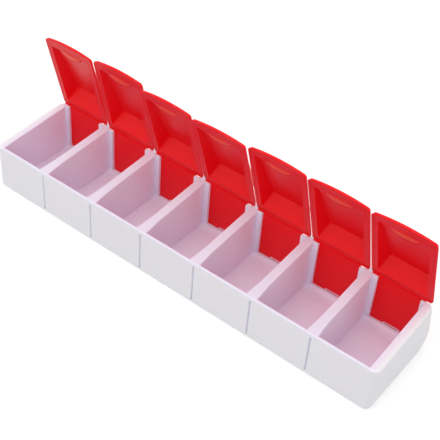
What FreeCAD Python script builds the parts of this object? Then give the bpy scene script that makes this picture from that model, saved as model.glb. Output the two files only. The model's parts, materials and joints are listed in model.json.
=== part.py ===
import FreeCAD, Part
import math
import os
import Sketcher

# Seven-compartment weekly pill box: a row of open cups moulded as one tray, a flat rear wall
# behind it and one humped lid per cup on a living hinge.
# Frame: +X along the row, -Y to the front, +Z up, origin at the centre of the underside.
# Inside the document Y is counted from the front face and moved back by the placements.

COMPARTMENTS = 7
# Forward lean of each lid from the vertical, left to right, in degrees.
LID_LEANS = [14.4, 13.3, 17.1, 18.5, 17.2, 17.4, 17.9]

doc = FreeCAD.newDocument("pill_box")
sheet = doc.addObject("Spreadsheet::Sheet", "dims")

driving = [
    ("pitch", 30.0),              # one compartment and its share of the dividers
    ("end_overhang", 0.9),        # outer end face beyond the last groove line
    ("centre_y", 24.0),           # from the front face to the origin
    ("rim_height", 22.9),         # top of the front wall
    ("top_slope", 0.083),         # rise of the top plane towards the back
    ("front_wall", 1.35),
    ("front_edge", 1.0),          # rounding along the front of the underside
    ("floor_top", 1.5),
    ("sweep_start", 37.5),        # where the floor starts to curl up at the back
    ("sweep_height", 10.0),       # centre of the curl and its outer radius
    ("cap_top", 43.5),            # top rear corner of an end cap
    ("cap_width", 4.2),
    ("end_edge", 3.0),            # rounding around the end faces
    ("rim_edge", 0.8),            # outer rounding of the rim
    ("inner_edge", 0.4),          # inner rounding of the rim
    ("band_half", 2.15),          # half width of a divider
    ("stiffener_half", 2.75),     # its wider front end
    ("stiffener_back", 10.0),
    ("core_half", 0.8),           # hollow of a divider, open below
    ("core_roof", 1.6),
    ("groove_half", 0.35),        # gap between two cups at the front
    ("groove_lip", 0.5),          # rounding of its two edges
    ("groove_depth", 0.95),
    ("groove_roof", 1.7),
    ("notch_half", 1.3),          # wider opening of the gap at the underside
    ("notch_height", 1.6),
    ("post_face", 42.0),
    ("post_thickness", 1.3),
    ("post_half", 4.5),
    ("end_post", 5.0),
    ("corner_round", 1.5),
    ("hook_foot", 24.2),          # top of a post, which reaches back over the rear wall
    ("hook_height", 2.1),
    ("hook_half", 0.75),
    ("hook_back", 45.0),
    ("rear_wall_thickness", 1.2),
    ("rear_wall_foot", 1.9),
    ("rear_wall_top", 26.1),
    ("rear_wall_gap", 0.05),
    ("notch_gap", 0.3),           # clearance of the rear wall round a hook
    ("tab_half", 3.5),            # snap tab at the foot of the rear wall
    ("tab_foot", 2.4),
    ("tab_top", 3.3),
    ("slit", 0.5),
    ("hinge_y", 44.0),
    ("hinge_z", 26.65),
    ("bead", 0.35),
    ("web_half", 10.3),
    ("web_thickness", 0.3),
    ("lid_half", 14.1),
    ("lid_length", 41.7),         # from the hinge to the corners of the free edge
    ("lid_bow", 1.6),
    ("lid_plate", 1.2),
    ("lid_start", 0.55),
    ("lid_corner", 1.4),
    ("strip_start", 0.4),
    ("strip_end", 1.5),
    ("strip_thickness", 0.45),
    ("recess_half", 11.7),
    ("recess_back", 3.0),
    ("recess_front", 38.6),
    ("hump_back", 9.0),           # top edge of the hump nearest the hinge
    ("hump_front", 36.0),
    ("hump_deep", 6.0),
    ("hump_shallow", 1.9),
    ("hump_draft", 23.0),         # lean of its side walls
    ("hump_edge", 1.6),
    ("scoop_centre", 36.4),       # finger scoop by the free edge, pressed in from outside
    ("scoop_half", 6.0),
    ("scoop_bulge", 2.1),
    ("scoop_wall", 0.9),
    ("scoop_floor", 0.6),
    ("scoop_height", 1.8),
]
derived = [
    ("half_length", "=compartments_half * pitch + end_overhang"),
    ("cap_inner", "=half_length - cap_width"),
    ("cap_top_z", "=rim_height + top_slope * cap_top"),
    ("cap_rise", "=cap_top_z - sweep_height"),
    ("cap_reach", "=cap_top - sweep_start"),
    ("cap_turn", "=atan(cap_rise / cap_reach) - acos(sweep_height / sqrt(cap_rise ^ 2 + cap_reach ^ 2))"),
    ("cap_tangent_y", "=sweep_start + sweep_height * cos(cap_turn)"),
    ("cap_tangent_z", "=sweep_height + sweep_height * sin(cap_turn)"),
    ("post_back", "=post_face + post_thickness"),
    ("open_top", "=rim_height + 8"),
    ("above", "=rim_height + 12"),
    ("open_back", "=cap_tangent_y + 10"),
    ("inner_sweep", "=sweep_height - floor_top"),
    ("sill_z", "=sweep_height - sqrt(inner_sweep ^ 2 - (post_face - sweep_start) ^ 2)"),
    ("corner_y", "=front_wall + corner_round"),
    ("corner_z", "=floor_top + corner_round"),
    ("cup_width", "=pitch - 2 * band_half"),
    ("cup_first", "=-compartments_half * pitch + pitch + band_half"),
    ("end_cup_width", "=cap_inner - (compartments_half - 1) * pitch - band_half"),
    ("end_cup_span", "=2 * cap_inner - end_cup_width"),
    ("end_cup_first", "=-cap_inner"),
    ("window_width", "=pitch - 2 * post_half"),
    ("window_first", "=-compartments_half * pitch + pitch + post_half"),
    ("end_window_width", "=pitch - post_half - end_post"),
    ("end_window_first", "=-compartments_half * pitch + end_post"),
    ("end_window_span", "=2 * (compartments_half * pitch - end_post) - end_window_width"),
    ("cup_span", "=(2 * compartments_half - 3) * pitch"),
    ("divider_first", "=-compartments_half * pitch + pitch"),
    ("divider_span", "=(2 * compartments_half - 2) * pitch"),
    ("core_back", "=post_face - 0.6"),
    ("core_front_roof", "=rim_height + top_slope * front_wall - core_roof"),
    ("core_back_roof", "=rim_height + top_slope * core_back - core_roof"),
    ("stiffener_foot", "=floor_top / 2"),
    ("stiffener_front", "=front_wall / 2"),
    ("groove_top", "=rim_height - groove_roof"),
    ("groove_outer", "=groove_half + groove_lip"),
    ("hook_left", "=post_face + 0.2"),
    ("notch_left", "=post_half + notch_gap"),
    ("notch_right", "=hook_half + notch_gap"),
    ("notch_floor", "=hook_foot - notch_gap"),
    ("below", "=-1"),
    ("wall_plane", "=-(post_back + rear_wall_thickness)"),
    ("wall_half", "=cap_inner - rear_wall_gap"),
    ("tab_outer", "=tab_half + slit"),
    ("tab_roof", "=tab_top + slit"),
    ("module_first", "=-(compartments_half - 0.5) * pitch"),
    ("module_span", "=(2 * compartments_half - 1) * pitch"),
    ("web_foot", "=rear_wall_top - hinge_z"),
    ("web_side", "=web_thickness / 2"),
    ("lid_back", "=-lid_start"),
    ("lid_front", "=-lid_length"),
    ("bow_radius", "=(lid_half ^ 2 + lid_bow ^ 2) / (2 * lid_bow)"),
    ("strip_back", "=-strip_start"),
    ("strip_front", "=-strip_end"),
    ("hump_angle", "=atan((hump_deep - hump_shallow) / (hump_front - hump_back))"),
    ("back_angle", "=atan((hump_back - recess_back) / hump_deep)"),
    ("front_angle", "=atan((recess_front - hump_front) / hump_shallow)"),
    ("recess_near", "=-recess_back"),
    ("recess_far", "=-recess_front"),
    ("hump_back_y", "=-hump_back"),
    ("hump_front_y", "=-hump_front"),
    ("shell_half", "=recess_half + lid_plate"),
    ("shell_back", "=recess_back - lid_plate / cos(back_angle)"),
    ("shell_front", "=recess_front + lid_plate / cos(front_angle)"),
    ("shell_near", "=-shell_back"),
    ("shell_far", "=-shell_front"),
    ("shell_deep", "=hump_deep + lid_plate / cos(hump_angle)"),
    ("shell_back_z", "=(shell_deep - (shell_back - hump_back) * tan(hump_angle)) / (1 + tan(hump_angle) * tan(back_angle))"),
    ("shell_back_y", "=-(shell_back + shell_back_z * tan(back_angle))"),
    ("shell_front_z", "=(shell_deep - (shell_front - hump_back) * tan(hump_angle)) / (1 - tan(hump_angle) * tan(front_angle))"),
    ("shell_front_y", "=-(shell_front - shell_front_z * tan(front_angle))"),
    ("scoop_y", "=-scoop_centre"),
    ("scoop_radius", "=(scoop_half ^ 2 + scoop_bulge ^ 2) / (2 * scoop_bulge)"),
    ("dent_half", "=scoop_half - scoop_wall"),
    ("dent_bulge", "=scoop_bulge - scoop_wall"),
    ("dent_radius", "=(dent_half ^ 2 + dent_bulge ^ 2) / (2 * dent_bulge)"),
    ("dent_floor", "=scoop_floor + scoop_wall"),
]

sheet.set("A1", str(COMPARTMENTS / 2))
sheet.setAlias("A1", "compartments_half")
for row, (alias, value) in enumerate(driving, 2):
    sheet.set("A%d" % row, str(value))
    sheet.setAlias("A%d" % row, alias)
for row, (alias, formula) in enumerate(derived, 1):
    sheet.set("B%d" % row, formula)
    sheet.setAlias("B%d" % row, alias)
doc.recompute()


def size(name):
    """Value of a cell; a leading minus mirrors it and "zero" is the sketch axis."""
    if name == "zero":
        return 0.0
    if name.startswith("-"):
        return -size(name[1:])
    value = sheet.get(name)
    return float(getattr(value, "Value", value))


def cell(name):
    """The expression that follows the same cell."""
    if name.startswith("-"):
        return "-dims." + name[1:]
    return "dims." + name


def bind(thing, **cells):
    for prop, name in cells.items():
        thing.setExpression(prop, cell(name))


def plane(body, role):
    return [(feature, "") for feature in body.Origin.OriginFeatures if feature.Role == role]


def new_sketch(body, name, role, offset=None):
    sketch = body.newObject("Sketcher::SketchObject", name)
    sketch.AttachmentSupport = plane(body, role)
    sketch.MapMode = "FlatFace"
    if offset:
        sketch.setExpression("AttachmentOffset.Base.z", cell(offset))
    return sketch


def pin_down(sketch, geometry, point, prop, name):
    """Fix one coordinate of a sketch point to a cell."""
    if name == "zero":
        on_axis = -2 if prop == "DistanceX" else -1
        sketch.addConstraint(Sketcher.Constraint("PointOnObject", geometry, point, on_axis))
        return
    number = sketch.addConstraint(Sketcher.Constraint(prop, -1, 1, geometry, point, size(name)))
    sketch.setExpression("Constraints[%d]" % number, cell(name))


def arc_between(start, end, radius, left):
    """Short arc from start to end whose centre lies left or right of the chord."""
    half = (end - start) * 0.5
    reach = math.sqrt(max(radius ** 2 - half.Length ** 2, 0.0))
    side = FreeCAD.Vector(-half.y, half.x, 0).normalize() * (reach if left else -reach)
    centre = start + half + side
    first = math.atan2(start.y - centre.y, start.x - centre.x)
    last = math.atan2(end.y - centre.y, end.x - centre.x)
    circle = Part.Circle(centre, FreeCAD.Vector(0, 0, 1), radius)
    if left:
        return Part.ArcOfCircle(circle, first, last), 1
    return Part.ArcOfCircle(circle, last, first), 2


def outline(sketch, corners, arcs=None):
    """Closed outline through corners given as pairs of cells. arcs maps a corner's number to
    the radius cell and the side of the arc that leaves that corner."""
    arcs = arcs or {}
    points = [FreeCAD.Vector(size(x), size(y), 0) for x, y in corners]
    ends = []
    for number, start in enumerate(points):
        end = points[(number + 1) % len(points)]
        if number in arcs:
            radius, side = arcs[number]
            arc, first = arc_between(start, end, size(radius), side == "left")
            sketch.addGeometry(arc, False)
            rule = sketch.addConstraint(Sketcher.Constraint("Radius", number, size(radius)))
            sketch.setExpression("Constraints[%d]" % rule, cell(radius))
            ends.append((first, 3 - first))
        else:
            sketch.addGeometry(Part.LineSegment(start, end), False)
            ends.append((1, 2))
    for number, (x, y) in enumerate(corners):
        before = number - 1 if number else len(corners) - 1
        sketch.addConstraint(
            Sketcher.Constraint("Coincident", before, ends[before][1], number, ends[number][0]))
        pin_down(sketch, number, ends[number][0], "DistanceX", x)
        pin_down(sketch, number, ends[number][0], "DistanceY", y)
    return sketch


def box_corners(left, right, low, high):
    return [(left, low), (right, low), (right, high), (left, high)]


def feature(body, kind, name, sketch, **cells):
    made = body.newObject("PartDesign::" + kind, name)
    made.Profile = sketch
    bind(made, **cells)
    return made


def pattern(body, name, original, span, occurrences):
    """Repeat a feature along X."""
    made = body.newObject("PartDesign::LinearPattern", name)
    made.Originals = [original]
    axis = [thing for thing in body.Origin.OriginFeatures if thing.Role == "X_Axis"]
    made.Direction = (axis[0], [""])
    made.Occurrences = occurrences
    bind(made, Length=span)
    body.Tip = made
    doc.recompute()
    return made


def round_edges(body, name, base, radius, wanted):
    """Fillet the edges of base that wanted() picks by their middle point and box."""
    names = []
    for number, edge in enumerate(base.Shape.Edges, 1):
        if edge.Degenerated:
            continue
        middle = edge.valueAt((edge.FirstParameter + edge.LastParameter) / 2)
        if wanted(edge, middle):
            names.append("Edge%d" % number)
    made = body.newObject("PartDesign::Fillet", name)
    made.Base = (base, names)
    bind(made, Radius=radius)
    doc.recompute()
    return made


def new_body(label):
    body = doc.addObject("PartDesign::Body", label)
    body.Label = label
    return body


def near(one, other, reach=0.02):
    return abs(one - other) < reach


def top_plane(y):
    return size("rim_height") + size("top_slope") * y


def upright(edge):
    return near(abs(edge.tangentAt(edge.FirstParameter).z), 1)


def row_of_cups(body, kind, corners, arcs, end_span):
    """Cut the same profile out of every compartment; the two end ones have widths of their own."""
    for name, span, count in ((kind, "cup_span", COMPARTMENTS - 2), ("end_" + kind, end_span, 2)):
        sketch = new_sketch(body, name + "_profile", "YZ_Plane", name + "_first")
        cut = feature(body, "Pocket", name, outline(sketch, corners, arcs), Length=name + "_width")
        cut.Reversed = True
        doc.recompute()
        pattern(body, name + "_row", cut, span, count)


def make_tray():
    body = new_body("tray")
    body.setExpression("Placement.Base.y", "-dims.centre_y")

    # Side profile of the whole box, run from end to end.
    profile = outline(new_sketch(body, "side_profile", "YZ_Plane"), [
        ("zero", "zero"), ("sweep_start", "zero"), ("cap_tangent_y", "cap_tangent_z"),
        ("cap_top", "cap_top_z"), ("zero", "rim_height")],
        {1: ("sweep_height", "left")})
    block = feature(body, "Pad", "block", profile)
    block.Midplane = True
    block.setExpression("Length", "2 * dims.half_length")
    doc.recompute()

    # Both end faces are rounded all the way round, less along the top.
    ends = size("half_length")

    def end_face(edge, middle):
        level = abs(edge.tangentAt(edge.FirstParameter).x) < 0.5
        return level and near(abs(middle.x), ends)

    def end_top(edge, middle):
        return end_face(edge, middle) and near(middle.z, top_plane(middle.y))

    sides = round_edges(body, "round_ends", block, "end_edge", lambda edge, middle: (
        end_face(edge, middle) and not end_top(edge, middle)))
    tops = round_edges(body, "round_rim", sides, "rim_edge", end_top)
    round_edges(body, "round_front", tops, "front_edge", lambda edge, middle: (
        near(middle.y, 0) and near(middle.z, 0)))

    # Behind the posts only the two end caps stay.
    relief = feature(body, "Pocket", "rear_relief", outline(
        new_sketch(body, "relief_plan", "XY_Plane"),
        box_corners("-cap_inner", "cap_inner", "post_back", "open_back")))
    relief.Type = "ThroughAll"
    relief.Midplane = True
    doc.recompute()

    cup_corners = [
        ("front_wall", "open_top"), ("front_wall", "corner_z"), ("corner_y", "floor_top"),
        ("sweep_start", "floor_top"), ("post_face", "sill_z"), ("post_face", "open_top")]
    cup_arcs = {1: ("corner_round", "left"), 3: ("inner_sweep", "left")}
    row_of_cups(body, "cup", cup_corners, cup_arcs, "end_cup_span")

    # Each divider is a folded double wall: wider at the front, hollow from below, and
    # split at the front by the gap between two neighbouring cups.
    plan = new_sketch(body, "stiffener_plan", "XY_Plane", "stiffener_foot")
    plan.setExpression("AttachmentOffset.Base.x", "dims.divider_first")
    stiffener = feature(body, "Pad", "stiffener", outline(plan, [
        ("-stiffener_half", "stiffener_front"), ("stiffener_half", "stiffener_front"),
        ("stiffener_half", "front_wall"), ("band_half", "stiffener_back"),
        ("-band_half", "stiffener_back"), ("-stiffener_half", "front_wall")]), Length="open_top")
    doc.recompute()
    pattern(body, "stiffeners", stiffener, "divider_span", COMPARTMENTS - 1)
    trim = feature(body, "Pocket", "trim", outline(
        new_sketch(body, "trim_profile", "YZ_Plane"), [
            ("zero", "rim_height"), ("cap_top", "cap_top_z"), ("cap_top", "above"),
            ("zero", "above")]))
    trim.Type = "ThroughAll"
    trim.Midplane = True
    doc.recompute()

    row_of_cups(body, "window", box_corners("post_face", "open_back", "sill_z", "open_top"),
                None, "end_window_span")

    core = feature(body, "Pocket", "core", outline(
        new_sketch(body, "core_profile", "YZ_Plane", "divider_first"), [
            ("front_wall", "below"), ("core_back", "below"),
            ("core_back", "core_back_roof"), ("front_wall", "core_front_roof")]))
    core.Midplane = True
    core.setExpression("Length", "2 * dims.core_half")
    doc.recompute()
    pattern(body, "cores", core, "divider_span", COMPARTMENTS - 1)

    plan = new_sketch(body, "groove_plan", "XY_Plane")
    plan.setExpression("AttachmentOffset.Base.x", "dims.divider_first")
    groove = feature(body, "Pocket", "groove", outline(plan, [
        ("-groove_outer", "zero"), ("-groove_half", "groove_lip"), ("-groove_half", "groove_depth"),
        ("groove_half", "groove_depth"), ("groove_half", "groove_lip"), ("groove_outer", "zero")],
        {0: ("groove_lip", "left"), 4: ("groove_lip", "left")}), Length="groove_top")
    groove.Reversed = True
    doc.recompute()
    pattern(body, "grooves", groove, "divider_span", COMPARTMENTS - 1)

    front = new_sketch(body, "notch_front", "XZ_Plane")
    front.setExpression("AttachmentOffset.Base.x", "dims.divider_first")
    notch = feature(body, "Pocket", "notch", outline(front, [
        ("-notch_half", "zero"), ("notch_half", "zero"), ("zero", "notch_height")]),
        Length="front_wall")
    doc.recompute()
    pattern(body, "notches", notch, "divider_span", COMPARTMENTS - 1)

    # Soft rims inside the cups.
    round_edges(body, "cup_rims", body.Tip, "inner_edge", lambda edge, middle: (
        size("front_wall") - 0.1 < middle.y < size("post_face") + 0.1
        and near(middle.z, top_plane(middle.y))))

    # The top of each post reaches back over the rear wall and holds it in place.
    plan = new_sketch(body, "hook_plan", "XY_Plane", "hook_foot")
    plan.setExpression("AttachmentOffset.Base.x", "dims.divider_first")
    hook = feature(body, "Pad", "hook", outline(plan, [
        ("-post_half", "hook_left"), ("hook_half", "hook_left"), ("hook_half", "hook_back"),
        ("-hook_half", "hook_back")]), Length="hook_height")
    doc.recompute()
    pattern(body, "hooks", hook, "divider_span", COMPARTMENTS - 1)
    return body


def make_rear_wall():
    body = new_body("rear_wall")
    body.setExpression("Placement.Base.y", "-dims.centre_y")
    wall = feature(body, "Pad", "wall", outline(
        new_sketch(body, "wall_outline", "XZ_Plane", "wall_plane"),
        box_corners("-wall_half", "wall_half", "rear_wall_foot", "rear_wall_top")),
        Length="rear_wall_thickness")
    doc.recompute()

    # A snap tab behind each cup, cut free on three sides by a narrow slit.
    plan = new_sketch(body, "tab_outline", "XZ_Plane", "wall_plane")
    plan.setExpression("AttachmentOffset.Base.x", "dims.module_first")
    slit = feature(body, "Pocket", "slit", outline(plan, [
        ("-tab_outer", "tab_foot"), ("-tab_half", "tab_foot"), ("-tab_half", "tab_top"),
        ("tab_half", "tab_top"), ("tab_half", "tab_foot"), ("tab_outer", "tab_foot"),
        ("tab_outer", "tab_roof"), ("-tab_outer", "tab_roof")]), Length="rear_wall_thickness")
    slit.Reversed = True
    doc.recompute()
    pattern(body, "slits", slit, "module_span", COMPARTMENTS)

    # The top is notched where a post hooks over it.
    plan = new_sketch(body, "hook_notch_outline", "XZ_Plane", "wall_plane")
    plan.setExpression("AttachmentOffset.Base.x", "dims.divider_first")
    notch = feature(body, "Pocket", "hook_notch", outline(
        plan, box_corners("-notch_left", "notch_right", "notch_floor", "open_top")),
        Length="rear_wall_thickness")
    notch.Reversed = True
    doc.recompute()
    pattern(body, "hook_notches", notch, "divider_span", COMPARTMENTS - 1)
    return body


def at_hinge(body, number):
    """Put a body's origin on the hinge axis of a compartment."""
    body.setExpression("Placement.Base.x", "(%d + 0.5 - dims.compartments_half) * dims.pitch" % number)
    body.setExpression("Placement.Base.y", "dims.hinge_y - dims.centre_y")
    body.setExpression("Placement.Base.z", "dims.hinge_z")


def make_web(number):
    body = new_body("hinge_web_%d" % (number + 1))
    at_hinge(body, number)
    disc = new_sketch(body, "bead_section", "YZ_Plane")
    disc.addGeometry(Part.Circle(FreeCAD.Vector(0, 0, 0), FreeCAD.Vector(0, 0, 1), size("bead")), False)
    disc.addConstraint(Sketcher.Constraint("Coincident", 0, 3, -1, 1))
    rule = disc.addConstraint(Sketcher.Constraint("Radius", 0, size("bead")))
    disc.setExpression("Constraints[%d]" % rule, cell("bead"))
    stem = outline(new_sketch(body, "stem_section", "YZ_Plane"),
                   box_corners("-web_side", "web_side", "web_foot", "zero"))
    for name, section in (("bead", disc), ("stem", stem)):
        made = feature(body, "Pad", name, section)
        made.Midplane = True
        made.setExpression("Length", "2 * dims.web_half")
        doc.recompute()
    return body


def wedge(body, name, half, corners):
    """Wedge with its section across Y and Z and with side walls that lean in."""
    section = outline(new_sketch(body, name + "_section", "YZ_Plane"), corners)
    made = feature(body, "Pad", name, section)
    made.Midplane = True
    made.setExpression("Length", "2 * dims." + half)
    doc.recompute()
    faces = []
    for count, face in enumerate(made.Shape.Faces, 1):
        flat = face.Surface.TypeId == "Part::GeomPlane"
        if flat and near(abs(face.CenterOfMass.x), size(half)):
            faces.append("Face%d" % count)
    draft = body.newObject("PartDesign::Draft", name + "_draft")
    draft.Base = (made, faces)
    draft.NeutralPlane = plane(body, "XY_Plane")[0]
    bind(draft, Angle="hump_draft")
    doc.recompute()
    return draft


def lens(body, name, level, half, radius):
    """Lens outline by the free edge of a lid, from two arcs."""
    return outline(new_sketch(body, name, "XY_Plane", level), [
        ("-" + half, "scoop_y"), (half, "scoop_y")],
        {0: (radius, "left"), 1: (radius, "left")})


def make_lid(number, lean):
    """Lid with its hinge axis on X, its free edge towards -Y and its outside up."""
    body = new_body("lid_%d" % (number + 1))
    at_hinge(body, number)
    body.Placement.Rotation = FreeCAD.Rotation(FreeCAD.Vector(1, 0, 0), lean - 90)

    plate = feature(body, "Pad", "plate", outline(new_sketch(body, "plate_outline", "XY_Plane"), [
        ("-lid_half", "lid_back"), ("-lid_half", "lid_front"), ("lid_half", "lid_front"),
        ("lid_half", "lid_back")], {1: ("bow_radius", "left")}), Length="lid_plate")
    doc.recompute()
    round_edges(body, "plate_corners", plate, "lid_corner", lambda edge, middle: upright(edge))
    strip = feature(body, "Pad", "strip", outline(
        new_sketch(body, "strip_outline", "XY_Plane"),
        box_corners("-web_half", "web_half", "strip_front", "strip_back")), Length="strip_thickness")
    doc.recompute()

    # The lid bulges outwards like a wedge, deepest near the hinge, with drafted sides.
    hump = wedge(body, "hump", "shell_half", [
        ("shell_near", "zero"), ("shell_back_y", "shell_back_z"),
        ("shell_front_y", "shell_front_z"), ("shell_far", "zero")])
    round_edges(body, "round_hump", hump, "hump_edge", lambda edge, middle: (
        middle.z > size("lid_plate") + 0.3))

    hollow = new_body("lid_hollow_%d" % (number + 1))
    wedge(hollow, "filling", "recess_half", [
        ("recess_near", "zero"), ("hump_back_y", "hump_deep"),
        ("hump_front_y", "hump_shallow"), ("recess_far", "zero")])
    cut = body.newObject("PartDesign::Boolean", "hollow")
    cut.Type = "Cut"
    cut.addObjects([hollow])
    doc.recompute()

    # Finger scoop: a lens pressed into the hump from outside, so that it stands out inside.
    feature(body, "Pad", "scoop", lens(body, "scoop_outline", "scoop_floor",
                    "scoop_half", "scoop_radius"), Length="scoop_height")
    doc.recompute()
    dent = feature(body, "Pocket", "dent", lens(body, "dent_outline", "dent_floor",
                   "dent_half", "dent_radius"), Length="hump_deep")
    dent.Reversed = True
    doc.recompute()
    return body


tray = make_tray()
nodes = [tray, make_rear_wall()]
for number, lean in enumerate(LID_LEANS):
    nodes.append(make_web(number))
    nodes.append(make_lid(number, lean))

doc.recompute()
for thing in doc.Objects:
    if "Invalid" in thing.State or "Error" in thing.State:
        raise RuntimeError("%s: %s" % (thing.Label, thing.getStatusString()))
for node in nodes:
    if node.Shape.isNull() or not node.Shape.isValid() or len(node.Shape.Solids) != 1:
        raise RuntimeError("%s is not one valid solid" % node.Label)

os.makedirs("parts", exist_ok=True)
for node in nodes:
    node.Shape.exportStep("parts/%s.step" % node.Label)
    print(node.Label, round(node.Shape.Volume), "mm3")
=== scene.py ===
# %% [markdown]
# A weekly pill box is two pieces of polypropylene: a white row of cups, and a red strip behind it
# with a lid for each cup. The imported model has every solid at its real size. This script gives it
# a camera, light and the finish of its surfaces, and adds small forms that the solids don't have:
# lips, finger scoops, hinge strips, ridges and catches.

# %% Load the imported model
import json
import math

import bpy
from mathutils import Matrix, Vector


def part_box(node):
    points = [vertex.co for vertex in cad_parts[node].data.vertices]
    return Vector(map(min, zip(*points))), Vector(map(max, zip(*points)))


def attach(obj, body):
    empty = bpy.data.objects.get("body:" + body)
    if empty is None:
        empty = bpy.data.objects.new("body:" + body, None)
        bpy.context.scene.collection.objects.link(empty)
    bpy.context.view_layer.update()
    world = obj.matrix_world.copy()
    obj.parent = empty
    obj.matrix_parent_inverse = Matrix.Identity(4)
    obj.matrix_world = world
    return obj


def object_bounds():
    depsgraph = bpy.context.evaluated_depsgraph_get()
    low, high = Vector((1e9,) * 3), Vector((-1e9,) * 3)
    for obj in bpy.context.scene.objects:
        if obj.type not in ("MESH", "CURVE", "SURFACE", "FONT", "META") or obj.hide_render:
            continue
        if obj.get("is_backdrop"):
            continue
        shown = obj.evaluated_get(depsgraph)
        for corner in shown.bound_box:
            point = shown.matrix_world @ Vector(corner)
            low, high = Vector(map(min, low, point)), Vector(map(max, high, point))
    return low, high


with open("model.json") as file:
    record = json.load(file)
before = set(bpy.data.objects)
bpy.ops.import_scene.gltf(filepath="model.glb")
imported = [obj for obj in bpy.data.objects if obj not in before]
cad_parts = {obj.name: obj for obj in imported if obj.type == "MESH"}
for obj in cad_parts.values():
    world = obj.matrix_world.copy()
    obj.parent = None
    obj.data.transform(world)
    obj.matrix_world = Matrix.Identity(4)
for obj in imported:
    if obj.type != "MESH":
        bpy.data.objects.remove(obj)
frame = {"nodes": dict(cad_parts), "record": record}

cad_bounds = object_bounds()
MM = 0.001
nodes = frame["nodes"]
LIDS = sorted(name for name in nodes if name.startswith("lid_"))
WEBS = sorted(name for name in nodes if name.startswith("hinge_web_"))
print("nodes:", sorted(nodes))
print("box:", [tuple(round(c, 4) for c in corner) for corner in cad_bounds])

# %% [markdown]
# The box is seen from its right front corner and from above, through a rather long lens, and the
# camera is tipped a little about its own axis. Azimuth, elevation and roll are kept apart, because
# each can then be changed by itself.

# %% Camera
CAMERA_PLACE = Vector((0.19317, -0.25938, 0.30301))
CAMERA_AZIMUTH = math.radians(34.58)
CAMERA_ELEVATION = math.radians(40.70)
CAMERA_ROLL = math.radians(5.24)
FIELD_OF_VIEW = math.radians(25.59)
FRAME_SHIFT = (-0.0195, -0.0025)


def look_from(place, azimuth, elevation, roll):
    turn = Matrix.Rotation(azimuth, 4, "Z") @ Matrix.Rotation(math.pi / 2 - elevation, 4, "X")
    return Matrix.Translation(place) @ turn @ Matrix.Rotation(roll, 4, "Z")


camera_data = bpy.data.cameras.new("camera")
camera_data.angle = FIELD_OF_VIEW
camera_data.shift_x, camera_data.shift_y = FRAME_SHIFT
camera_data.clip_start = 0.01
camera = bpy.data.objects.new("camera", camera_data)
camera.matrix_world = look_from(CAMERA_PLACE, CAMERA_AZIMUTH, CAMERA_ELEVATION, CAMERA_ROLL)
bpy.context.scene.collection.objects.link(camera)
bpy.context.scene.camera = camera
print("lens:", round(camera_data.lens, 1), "mm")

# %% [markdown]
# Every finish is a node tree. The helpers below add a node, join two sockets and fill in the
# plain values, so that each material reads as a short recipe.


# %% Helpers for node trees
def add_node(tree, kind, **settings):
    node = tree.nodes.new(kind)
    for name, value in settings.items():
        setattr(node, name, value)
    return node


def fill(node, **values):
    for name, value in values.items():
        node.inputs[name.replace("_", " ")].default_value = value
    return node


def join(tree, source, output, target, entry):
    tree.links.new(source.outputs[output], target.inputs[entry])


def new_material(name):
    material = bpy.data.materials.new(name)
    material.use_nodes = True
    material.node_tree.nodes.clear()
    return material, material.node_tree


def give(names, material):
    for name in names:
        mesh = nodes[name].data
        mesh.materials.clear()
        mesh.materials.append(material)


# %% [markdown]
# Moulded polypropylene isn't perfectly even: the surface has a faint ripple and its gloss varies a
# little from place to place. One group makes both from two noises, and each plastic places it with
# its own strengths.


# %% Moulded surface group
RIPPLE_HEIGHT = 0.00002
PATCH_SCALE = 60.0
MOULDED_INPUTS = (("Ripple Size", 300.0), ("Ripple", 0.1), ("Gloss", 0.3), ("Gloss Spread", 0.05))


def moulded_group():
    group = bpy.data.node_groups.new("moulded_surface", "ShaderNodeTree")
    for name, value in MOULDED_INPUTS:
        socket = group.interface.new_socket(name, in_out="INPUT", socket_type="NodeSocketFloat")
        socket.default_value = value
    group.interface.new_socket("Roughness", in_out="OUTPUT", socket_type="NodeSocketFloat")
    group.interface.new_socket("Normal", in_out="OUTPUT", socket_type="NodeSocketVector")
    entry = add_node(group, "NodeGroupInput")
    result = add_node(group, "NodeGroupOutput")
    place = add_node(group, "ShaderNodeTexCoord")
    ripple = fill(add_node(group, "ShaderNodeTexNoise"), Detail=3.0, Roughness=0.5)
    join(group, place, "Object", ripple, "Vector")
    join(group, entry, "Ripple Size", ripple, "Scale")
    bump = fill(add_node(group, "ShaderNodeBump"), Distance=RIPPLE_HEIGHT)
    join(group, ripple, "Fac", bump, "Height")
    join(group, entry, "Ripple", bump, "Strength")
    patches = fill(add_node(group, "ShaderNodeTexNoise"), Scale=PATCH_SCALE, Detail=2.0)
    join(group, place, "Object", patches, "Vector")
    spread = add_node(group, "ShaderNodeMath", operation="MULTIPLY_ADD")
    join(group, patches, "Fac", spread, 0)
    join(group, entry, "Gloss Spread", spread, 1)
    join(group, entry, "Gloss", spread, 2)
    join(group, spread, "Value", result, "Roughness")
    join(group, bump, "Normal", result, "Normal")
    return group


MOULDED = moulded_group()


def moulded(tree, shader, **values):
    surface = add_node(tree, "ShaderNodeGroup", node_tree=MOULDED)
    fill(surface, **values)
    join(tree, surface, "Roughness", shader, "Roughness")
    join(tree, surface, "Normal", shader, "Normal")
    return surface


# %% [markdown]
# Inside the cups white walls face each other and the red lids, so light bounces there many times.
# The warm lilac of the inside is painted bounced light, while the outside stays a cool white. The
# top rims face the light from above, so the dividers' and the front wall's rims get painted shade,
# the darkest colour of the three, and don't show too bright. The rims of the two end caps keep the
# colour of the outside. One group turns a point of the tray into two masks, one for the inside of
# the cups and one for the rims.

# %% Cup masks group
TRAY_LOW, TRAY_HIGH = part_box("tray")
WALL = 0.0014
TOP_SLOPE = 0.083
FRONT_HEIGHT = 0.0229

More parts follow.
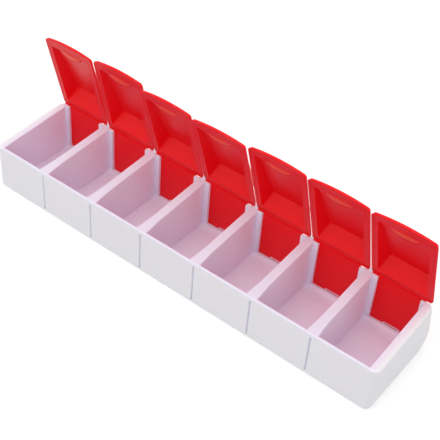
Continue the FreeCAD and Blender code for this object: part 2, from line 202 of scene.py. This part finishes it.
# Where each mask starts and ends, in metres: below the rims, in from an end cap, above the floor.
# For the front wall it is in parts of its thickness.
RIM_FADE = (-0.0011, -0.0001)
DIVIDER_FADE = (0.0034, 0.0044)
FRONT_FADE = (0.2, 0.9)
END_FADE = (0.0008, 0.0028)
FLOOR_FADE = (0.0006, 0.0014)


def remap(tree, source, output, low, high):
    """A soft step from 0 at low to 1 at high."""
    step = add_node(tree, "ShaderNodeMapRange", interpolation_type="SMOOTHSTEP")
    fill(step, **{"From Min": low, "From Max": high})
    join(tree, source, output, step, "Value")
    return step


def math_node(tree, operation, first, second):
    """A maths node whose two inputs are either (node, output) pairs or plain numbers."""
    node = add_node(tree, "ShaderNodeMath", operation=operation)
    for number, source in enumerate((first, second)):
        if isinstance(source, tuple):
            join(tree, source[0], source[1], node, number)
        else:
            node.inputs[number].default_value = source
    return node


def painted_light_group():
    group = bpy.data.node_groups.new("cup_masks", "ShaderNodeTree")
    group.interface.new_socket("Inside", in_out="OUTPUT", socket_type="NodeSocketFloat")
    group.interface.new_socket("Rim", in_out="OUTPUT", socket_type="NodeSocketFloat")
    result = add_node(group, "NodeGroupOutput")
    place = add_node(group, "ShaderNodeTexCoord")
    axes = add_node(group, "ShaderNodeSeparateXYZ")
    join(group, place, "Object", axes, "Vector")

    # Height above the sloping plane of the rims, which is below zero everywhere under it.
    slope = math_node(group, "MULTIPLY_ADD", (axes, "Y"), -TOP_SLOPE)
    slope.inputs[2].default_value = -(FRONT_HEIGHT - TRAY_LOW[1] * TOP_SLOPE)
    height = math_node(group, "ADD", (axes, "Z"), (slope, "Value"))
    rim = remap(group, height, "Value", *RIM_FADE)
    across = math_node(group, "ABSOLUTE", (axes, "X"), 0)
    divider = remap(group, across, "Value", *(TRAY_HIGH[0] - fade for fade in DIVIDER_FADE))
    rim = math_node(group, "MULTIPLY", (rim, "Result"), (divider, "Result"))

    # Behind the front wall, between the end caps and above the floor.
    behind = remap(group, axes, "Y", *(TRAY_LOW[1] + fade * WALL for fade in FRONT_FADE))
    between = remap(group, across, "Value", *(TRAY_HIGH[0] - fade for fade in END_FADE))
    above = remap(group, axes, "Z", *FLOOR_FADE)
    inside = math_node(group, "MULTIPLY", (behind, "Result"), (between, "Result"))
    inside = math_node(group, "MULTIPLY", (inside, "Value"), (above, "Result"))
    join(group, inside, "Value", result, "Inside")
    join(group, rim, "Value", result, "Rim")
    return group


PAINTED_LIGHT_MASKS = painted_light_group()
print("cup masks from", [round(c, 4) for c in TRAY_LOW], "to", [round(c, 4) for c in TRAY_HIGH])

# %% [markdown]
# The tray is white and faintly milky: light goes a little way into it, so its thin walls take on
# the red of the lids beside them. Subsurface scattering over about two millimetres does that.

# %% White plastic
WHITE_OUTSIDE = (0.92, 0.91, 0.96, 1)
# Painted bounced light: the lilac that the red lids throw into the cups.
PAINTED_BOUNCE_LILAC = (0.90, 0.84, 0.99, 1)
# Painted shade on the rims of the dividers and the front wall, a darker lilac.
PAINTED_RIM_SHADE = (0.85, 0.81, 0.98, 1)
WHITE_SCATTER = {"Subsurface_Weight": 0.25, "Subsurface_Scale": 0.002,
                 "Subsurface_Radius": (1.0, 0.9, 1.0)}
WHITE_SURFACE = {"Ripple_Size": 900.0, "Ripple": 0.15, "Gloss": 0.38, "Gloss_Spread": 0.08}
PLASTIC_IOR = 1.49

# The colour sockets of a Mix node share their names with its number sockets, so they go by number.
MIX_FIRST = 6
MIX_SECOND = 7
MIX_RESULT = 2


def mix_colour(tree, mask, output, first, second):
    """Blend two colours by a mask; each is a plain colour or a (node, output) pair."""
    mix = add_node(tree, "ShaderNodeMix", data_type="RGBA")
    join(tree, mask, output, mix, "Factor")
    for entry, source in ((MIX_FIRST, first), (MIX_SECOND, second)):
        if isinstance(source[0], float):
            mix.inputs[entry].default_value = source
        else:
            tree.links.new(source[0].outputs[source[1]], mix.inputs[entry])
    return mix


def white_plastic():
    material, tree = new_material("white_polypropylene")
    shader = fill(add_node(tree, "ShaderNodeBsdfPrincipled"), IOR=PLASTIC_IOR, **WHITE_SCATTER)
    masks = add_node(tree, "ShaderNodeGroup", node_tree=PAINTED_LIGHT_MASKS)
    # The inside of the cups gets the painted bounced light.
    colour = mix_colour(tree, masks, "Inside", WHITE_OUTSIDE, PAINTED_BOUNCE_LILAC)
    # The rims get the painted shade.
    colour = mix_colour(tree, masks, "Rim", (colour, MIX_RESULT), PAINTED_RIM_SHADE)
    tree.links.new(colour.outputs[MIX_RESULT], shader.inputs["Base Color"])
    moulded(tree, shader, **WHITE_SURFACE)
    target = add_node(tree, "ShaderNodeOutputMaterial")
    join(tree, shader, "BSDF", target, "Surface")
    return material


WHITE_PLASTIC = white_plastic()
give(["tray"], WHITE_PLASTIC)
print(WHITE_PLASTIC.name, "has", len(WHITE_PLASTIC.node_tree.nodes), "nodes")

# %% [markdown]
# The red strip is the same plastic with a strong pigment. It is thin enough to glow a little where
# light falls through it.

# %% Red plastic
RED = (0.92, 0.003, 0.008, 1)
# The finger scoops get a lighter orange red, a painted glow and highlight.
RED_PAINTED_GLOW = (1.0, 0.07, 0.03, 1)
RED_GLOSS = 0.22
RED_SCATTER = {"Subsurface_Weight": 0.3, "Subsurface_Scale": 0.0007,
               "Subsurface_Radius": (1.0, 0.05, 0.05)}
RED_SURFACE = {"Ripple_Size": 1800.0, "Ripple": 0.1, "Gloss": 0.27, "Gloss_Spread": 0.03}


def red_plastic(name, colour):
    material, tree = new_material(name)
    shader = fill(add_node(tree, "ShaderNodeBsdfPrincipled"), Base_Color=colour, IOR=PLASTIC_IOR)
    fill(shader, Specular_IOR_Level=RED_GLOSS, **RED_SCATTER)
    moulded(tree, shader, **RED_SURFACE)
    target = add_node(tree, "ShaderNodeOutputMaterial")
    join(tree, shader, "BSDF", target, "Surface")
    return material


RED_PLASTIC = red_plastic("red_polypropylene", RED)
# The scoops' material carries the painted glow and highlight in its lighter red.
GLOW_PAINTED_RED_PLASTIC = red_plastic("red_polypropylene_thin", RED_PAINTED_GLOW)
give(["rear_wall"] + WEBS + LIDS, RED_PLASTIC)
print("red pieces of the packed model:", 1 + len(WEBS) + len(LIDS))

# %% [markdown]
# Each lid has a thin lip round its edge, which closes most of the gap to its neighbours, and a
# domed scoop for the fingertip by its free edge. Both are modelled once, on a lid that lies flat
# with its hinge on the X axis, and copied into place. The joints say where each hinge is and how
# far its lid leans, so nothing has to be measured.

# %% Places of the lids
SHUT = math.degrees(math.pi / 2 + math.atan(TOP_SLOPE))
JOINTS = {joint["child"]: joint for joint in frame["record"]["behaviour"]["joints"]}


def lid_place(name):
    """Matrix from the flat lid (hinge on X, free edge towards -Y, outside up) to its place."""
    joint = JOINTS[name]
    lean = SHUT - joint["range_deg"][1]
    turn = Matrix.Rotation(math.radians(lean - 90), 4, "X")
    return Matrix.Translation(joint["pos_m"]) @ turn


print("lid_1 leans", round(SHUT - JOINTS["lid_1"]["range_deg"][1], 1), "degrees")

# %% [markdown]
# The operators of edit mode act on whatever is selected, so vertices, edges and faces are selected
# here by their place. A finished piece has its place in its mesh, unturned and unscaled, because
# its material reads that place.

# %% Selecting by place
SELECT_MODES = {"vertices": "VERT", "edges": "EDGE", "polygons": "FACE"}


def middle_of(mesh, kind, part):
    if kind == "vertices":
        return part.co
    if kind == "polygons":
        return part.center
    first, second = part.vertices
    return (mesh.vertices[first].co + mesh.vertices[second].co) / 2


def pick(piece, kind, wanted):
    """Select only the vertices, edges or polygons whose middle point wanted() accepts."""
    bpy.ops.mesh.select_all(action="DESELECT")
    bpy.ops.mesh.select_mode(type=SELECT_MODES[kind])
    bpy.ops.object.mode_set(mode="OBJECT")
    for part in getattr(piece.data, kind):
        part.select = wanted(middle_of(piece.data, kind, part))
    bpy.ops.object.mode_set(mode="EDIT")


# %% Starting and finishing a piece
SMOOTH_ANGLE = math.radians(40)


def start(adder, scale, **values):
    """Add a primitive with nothing else selected, move its place into its mesh, open edit mode.

    The scale is set on the new object, because the grid primitive ignores its own scale argument.
    """
    if bpy.context.object and bpy.context.object.mode == "EDIT":
        bpy.ops.object.mode_set(mode="OBJECT")
    bpy.ops.object.select_all(action="DESELECT")
    adder(**values)
    bpy.context.object.scale = scale
    bpy.ops.object.transform_apply(location=True, rotation=True, scale=True)
    bpy.ops.object.mode_set(mode="EDIT")
    bpy.ops.mesh.select_all(action="SELECT")
    return bpy.context.object


def finish_piece(piece, name):
    bpy.ops.object.mode_set(mode="OBJECT")
    bpy.ops.object.shade_smooth_by_angle(angle=SMOOTH_ANGLE)
    piece.name = name
    return piece


# %% Copying pieces to every lid
def copy_to(pattern, name, matrix, body, material):
    """A copy with its own mesh and its place in the mesh, riding on a body."""
    copy = pattern.copy()
    copy.data = pattern.data.copy()
    copy.name = name
    copy.data.name = name
    copy.data.transform(matrix)
    copy.data.materials.clear()
    copy.data.materials.append(material)
    bpy.context.scene.collection.objects.link(copy)
    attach(copy, body)


def one_per_lid(patterns, place, body=None):
    """Copy each pattern to every lid, where place() says, riding on the lid itself or on a body.

    The patterns are rows of a name, a piece and its material.
    """
    for lid in LIDS:
        for name, pattern, material in patterns:
            copy_to(pattern, name + lid.removeprefix("lid"), place(lid), body or lid, material)
    for name, pattern, _ in patterns:
        print(name, "has", len(pattern.data.polygons), "faces")
        bpy.data.objects.remove(pattern)


# %% Sizes of a lip
LIP_HALF = 14.7 * MM
LIP_NEAR = 0.42 * MM
LIP_FAR = 41.65 * MM
LIP_BOW = 1.6 * MM
LIP_WIDTH = 1.6 * MM
LIP_CORNER_NEAR = 1.0 * MM
LIP_CORNER_FAR = 1.3 * MM
LIP_BOTTOM = -0.04 * MM
LIP_THICK = 0.38 * MM
LIP_EDGE = 0.1 * MM
LIP_CLOSE_BY = 0.1 * MM
SHARP_ANGLE = math.radians(50)
TINY = 0.001 * MM


# %% Lip round a lid
def make_lip():
    lip = start(bpy.ops.mesh.primitive_grid_add, x_subdivisions=18, y_subdivisions=1, size=1,
                location=(0, -(LIP_NEAR + LIP_FAR) / 2, LIP_BOTTOM),
                scale=(2 * LIP_HALF, LIP_FAR - LIP_NEAR, 1))

    # The free edge bows outwards: its middle is pulled, and the rest follows in a round falloff.
    pick(lip, "vertices", lambda at: at.y < -LIP_FAR + MM and abs(at.x) < MM)
    bpy.ops.transform.translate(value=(0, -LIP_BOW, 0), use_proportional_edit=True,
                                proportional_edit_falloff="SPHERE", proportional_size=LIP_HALF)

    # Rounded corners, smaller at the hinge. The lip is thin enough to pass over the hook of a post.
    pick(lip, "vertices", lambda at: abs(at.x) > LIP_HALF - LIP_CLOSE_BY and at.y > -LIP_NEAR - MM)
    bpy.ops.mesh.bevel(offset=LIP_CORNER_NEAR, segments=5, affect="VERTICES")
    pick(lip, "vertices", lambda at: abs(at.x) > LIP_HALF - LIP_CLOSE_BY and at.y < -LIP_FAR + MM)
    bpy.ops.mesh.bevel(offset=LIP_CORNER_FAR, segments=5, affect="VERTICES")

    # Only a band along the outline stays, and it gets its thickness and soft edges.
    bpy.ops.mesh.select_all(action="SELECT")
    bpy.ops.mesh.inset(thickness=LIP_WIDTH, use_boundary=True, use_even_offset=True)
    bpy.ops.mesh.delete(type="FACE")
    bpy.ops.mesh.select_all(action="SELECT")
    bpy.ops.mesh.extrude_region_move(TRANSFORM_OT_translate={"value": (0, 0, LIP_THICK)})
    bpy.ops.mesh.select_all(action="SELECT")
    bpy.ops.mesh.normals_make_consistent(inside=False)
    bpy.ops.mesh.select_all(action="DESELECT")
    bpy.ops.mesh.edges_select_sharp(sharpness=SHARP_ANGLE)
    bpy.ops.mesh.bevel(offset=LIP_EDGE, segments=2, affect="EDGES", clamp_overlap=True)
    bpy.ops.mesh.select_all(action="SELECT")
    bpy.ops.mesh.dissolve_degenerate(threshold=TINY)
    return finish_piece(lip, "lip_pattern")


# %% Scoop for the fingertip
SCOOP_HALF = 6.5 * MM
SCOOP_REACH = 2.7 * MM
SCOOP_RISE = 1.05 * MM
SCOOP_AT = 38.0 * MM
SCOOP_LEVEL = 0.83 * MM
SCOOP_CUT = 38.8 * MM


def make_scoop():
    scoop = start(bpy.ops.mesh.primitive_uv_sphere_add, segments=40, ring_count=20, radius=1,
                  location=(0, -SCOOP_AT, SCOOP_LEVEL), scale=(SCOOP_HALF, SCOOP_REACH, SCOOP_RISE))
    bpy.ops.mesh.bisect(plane_co=(0, -SCOOP_CUT, 0), plane_no=(0, -1, 0), clear_outer=True,
                        use_fill=True)
    return finish_piece(scoop, "scoop_pattern")


# %% Lips and scoops in place
# The scoops take the red with the painted glow and highlight.
one_per_lid([("lid_lip", make_lip(), RED_PLASTIC),
             ("finger_scoop", make_scoop(), GLOW_PAINTED_RED_PLASTIC)], lid_place)

# %% [markdown]
# The film hinge is a thin rounded strip along the axis of each lid. It is nearly as wide as the
# lid, to close the gap between the lid's corners and the wall. It is modelled round the axis
# itself, so a turning lid never comes nearer to it.

# %% Film hinge
STRIP_HALF = 14.0 * MM
STRIP_RADIUS = 0.33 * MM
STRIP_EDGE = 0.1 * MM
STRIP_CLOSE_BY = 0.01 * MM


def hinge_place(name):
    """Matrix that takes the origin to the hinge of a lid."""
    return Matrix.Translation(JOINTS[name]["pos_m"])


def make_strip():
    strip = start(bpy.ops.mesh.primitive_cylinder_add, scale=(1, 1, 1), vertices=16,
                  radius=STRIP_RADIUS, depth=2 * STRIP_HALF, rotation=(0, math.pi / 2, 0))
    pick(strip, "edges", lambda at: abs(at.x) > STRIP_HALF - STRIP_CLOSE_BY)
    bpy.ops.mesh.bevel(offset=STRIP_EDGE, segments=2, affect="EDGES")
    return finish_piece(strip, "strip_pattern")


one_per_lid([("hinge_strip", make_strip(), RED_PLASTIC)], hinge_place, body="tray")

# %% [markdown]
# A low ridge lies on top of the rear wall behind every compartment. Its shape is a guess: it
# stands for the red foot of the lid, which covers the wall between the posts.

# %% Ridge on the rear wall
WALL_LOW, WALL_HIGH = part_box("rear_wall")
PITCH = JOINTS["lid_2"]["pos_m"][0] - JOINTS["lid_1"]["pos_m"][0]
RIDGE_LEFT = 1.1 * MM
RIDGE_RIGHT = PITCH - 4.9 * MM
RIDGE_DEEP = 0.6 * MM
RIDGE_HIGH = 0.28 * MM
RIDGE_SET_IN = 0.05 * MM
RIDGE_SUNK = 0.02 * MM
RIDGE_EDGE = 0.12 * MM


def column_place(name):
    """Matrix that moves a piece along X to the middle of a lid, and nothing else."""
    return Matrix.Translation((JOINTS[name]["pos_m"][0], 0, 0))


def make_ridge():
    middle = ((RIDGE_LEFT + RIDGE_RIGHT - PITCH) / 2,
              WALL_LOW[1] + RIDGE_DEEP / 2 + RIDGE_SET_IN,
              WALL_HIGH[2] + RIDGE_HIGH / 2 - RIDGE_SUNK)
    ridge = start(bpy.ops.mesh.primitive_cube_add, size=1, location=middle,
                  scale=(RIDGE_RIGHT - RIDGE_LEFT, RIDGE_DEEP, RIDGE_HIGH))
    pick(ridge, "edges", lambda at: at.z > WALL_HIGH[2] + 0.5 * RIDGE_HIGH)
    bpy.ops.mesh.bevel(offset=RIDGE_EDGE, segments=3, affect="EDGES")
    return finish_piece(ridge, "ridge_pattern")


one_per_lid([("wall_ridge", make_ridge(), RED_PLASTIC)], column_place, body="tray")

# %% [markdown]
# At the foot of the rear wall a narrow slit runs round a small tab under every lid. White catches
# of the tray fill these slits, so they show as thin white lines. How the tab is held is a guess.

# %% Catch in the slit of a tab
TAB_HALF = 3.5 * MM
TAB_FOOT = 2.4 * MM
TAB_TOP = 3.3 * MM
SLIT = 0.5 * MM
CATCH_GAP = 0.03 * MM
CATCH_DEEP = 0.6 * MM
CATCH_PROUD = 0.04 * MM


def make_catch():
    half = TAB_HALF + SLIT - CATCH_GAP
    bar = SLIT - 2 * CATCH_GAP
    catch = start(bpy.ops.mesh.primitive_cube_add, size=1, scale=(2 * half, CATCH_DEEP, bar),
                  location=(0, WALL_LOW[1] + CATCH_DEEP / 2 - CATCH_PROUD, TAB_TOP + SLIT / 2))
    for side in (-1, 1):
        bpy.ops.mesh.select_all(action="SELECT")
        bpy.ops.mesh.bisect(plane_co=(side * (half - bar), 0, 0), plane_no=(1, 0, 0))
    for side in (-1, 1):
        pick(catch, "polygons", lambda at: at.z < TAB_TOP + 2 * CATCH_GAP and side * at.x > TAB_HALF)
        bpy.ops.mesh.extrude_region_move(
            TRANSFORM_OT_translate={"value": (0, 0, TAB_FOOT - TAB_TOP)})
    return finish_piece(catch, "catch_pattern")


one_per_lid([("tab_catch", make_catch(), WHITE_PLASTIC)], column_place, body="tray")

# %% [markdown]
# The floor is white where the camera or a shiny surface sees it directly and still takes the
# shadow of the box.

# %% Floor
FLOOR_HALF = 2.0
FLOOR_LEVEL = -0.0002
FLOOR_GREY = (0.60, 0.60, 0.60, 1)
FLOOR_LIFT = 0.51


def seen_directly(tree):
    """1 for the camera and for what shiny or clear surfaces show, 0 for light that only bounces."""
    path = add_node(tree, "ShaderNodeLightPath")
    camera_or_gloss = math_node(tree, "MAXIMUM", (path, "Is Camera Ray"), (path, "Is Glossy Ray"))
    return math_node(tree, "MAXIMUM", (camera_or_gloss, "Value"), (path, "Is Transmission Ray"))


def floor_material():
    material, tree = new_material("pale_floor")
    shader = fill(add_node(tree, "ShaderNodeBsdfDiffuse"), Color=FLOOR_GREY)
    glow = add_node(tree, "ShaderNodeEmission")
    lift = math_node(tree, "MULTIPLY", (seen_directly(tree), "Value"), FLOOR_LIFT)
    join(tree, lift, "Value", glow, "Strength")
    both = add_node(tree, "ShaderNodeAddShader")
    join(tree, shader, "BSDF", both, 0)
    join(tree, glow, "Emission", both, 1)
    target = add_node(tree, "ShaderNodeOutputMaterial")
    join(tree, both, "Shader", target, "Surface")
    return material


bpy.ops.object.select_all(action="DESELECT")
bpy.ops.mesh.primitive_plane_add(size=2 * FLOOR_HALF, location=(0, 0, FLOOR_LEVEL))
floor = bpy.context.object
floor.name = "floor"
floor.data.transform(floor.matrix_world)
floor.matrix_world = Matrix.Identity(4)
floor.data.materials.append(floor_material())
floor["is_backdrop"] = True
print("floor:", 2 * FLOOR_HALF, "m wide")

# %% World
SKY_STRENGTH = 0.80
world = bpy.data.worlds.new("studio")
world.use_nodes = True
bpy.context.scene.world = world
sky = world.node_tree.nodes["Background"]
sky.inputs["Color"].default_value = (1, 1, 1, 1)
sky_level = add_node(world.node_tree, "ShaderNodeMapRange")
fill(sky_level, **{"To Min": SKY_STRENGTH, "To Max": 1.0})
join(world.node_tree, seen_directly(world.node_tree), "Value", sky_level, "Value")
join(world.node_tree, sky_level, "Result", sky, "Strength")
print("sky:", SKY_STRENGTH)

# %% [markdown]
# A wide key lamp high over the box gives its soft shadow, and a weak fill lamp lights its right
# end. Both are area lamps, because a small lamp would draw hard edges.

# %% Lamps
LAMP_WIDTH = 0.8
LAMP_TARGET = Vector((0, 0, 0.02))
LAMPS = [
    ("key", (-0.12, -0.28, 0.9), 2.3),
    ("fill", (0.6, -0.5, 0.6), 0.3),
]
for name, place, power in LAMPS:
    lamp = bpy.data.lights.new(name, "AREA")
    lamp.size = LAMP_WIDTH
    lamp.energy = power
    holder = bpy.data.objects.new(name, lamp)
    direction = LAMP_TARGET - Vector(place)
    turn = direction.to_track_quat("-Z", "Y").to_matrix().to_4x4()
    holder.matrix_world = Matrix.Translation(place) @ turn
    bpy.context.scene.collection.objects.link(holder)
    print(name, "lamp:", power, "W")

bpy.context.scene.view_settings.view_transform = "Standard"

# %% [markdown]
# The added forms must not make the box bigger than its solids do. A piece of the wrong size can lie
# outside the camera's view, so the script stops here if the added forms reach past the solids' box.
# A wrong size inside that box isn't caught.

# %% Compare sizes and finish
SIZE_SLACK = 0.01 * MM
look_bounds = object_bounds()
print("look box:", [tuple(round(c, 4) for c in corner) for corner in look_bounds])
for low, high, cad_low, cad_high in zip(*look_bounds, *cad_bounds):
    inside = low > cad_low - SIZE_SLACK and high < cad_high + SIZE_SLACK
    assert inside, (look_bounds, cad_bounds)
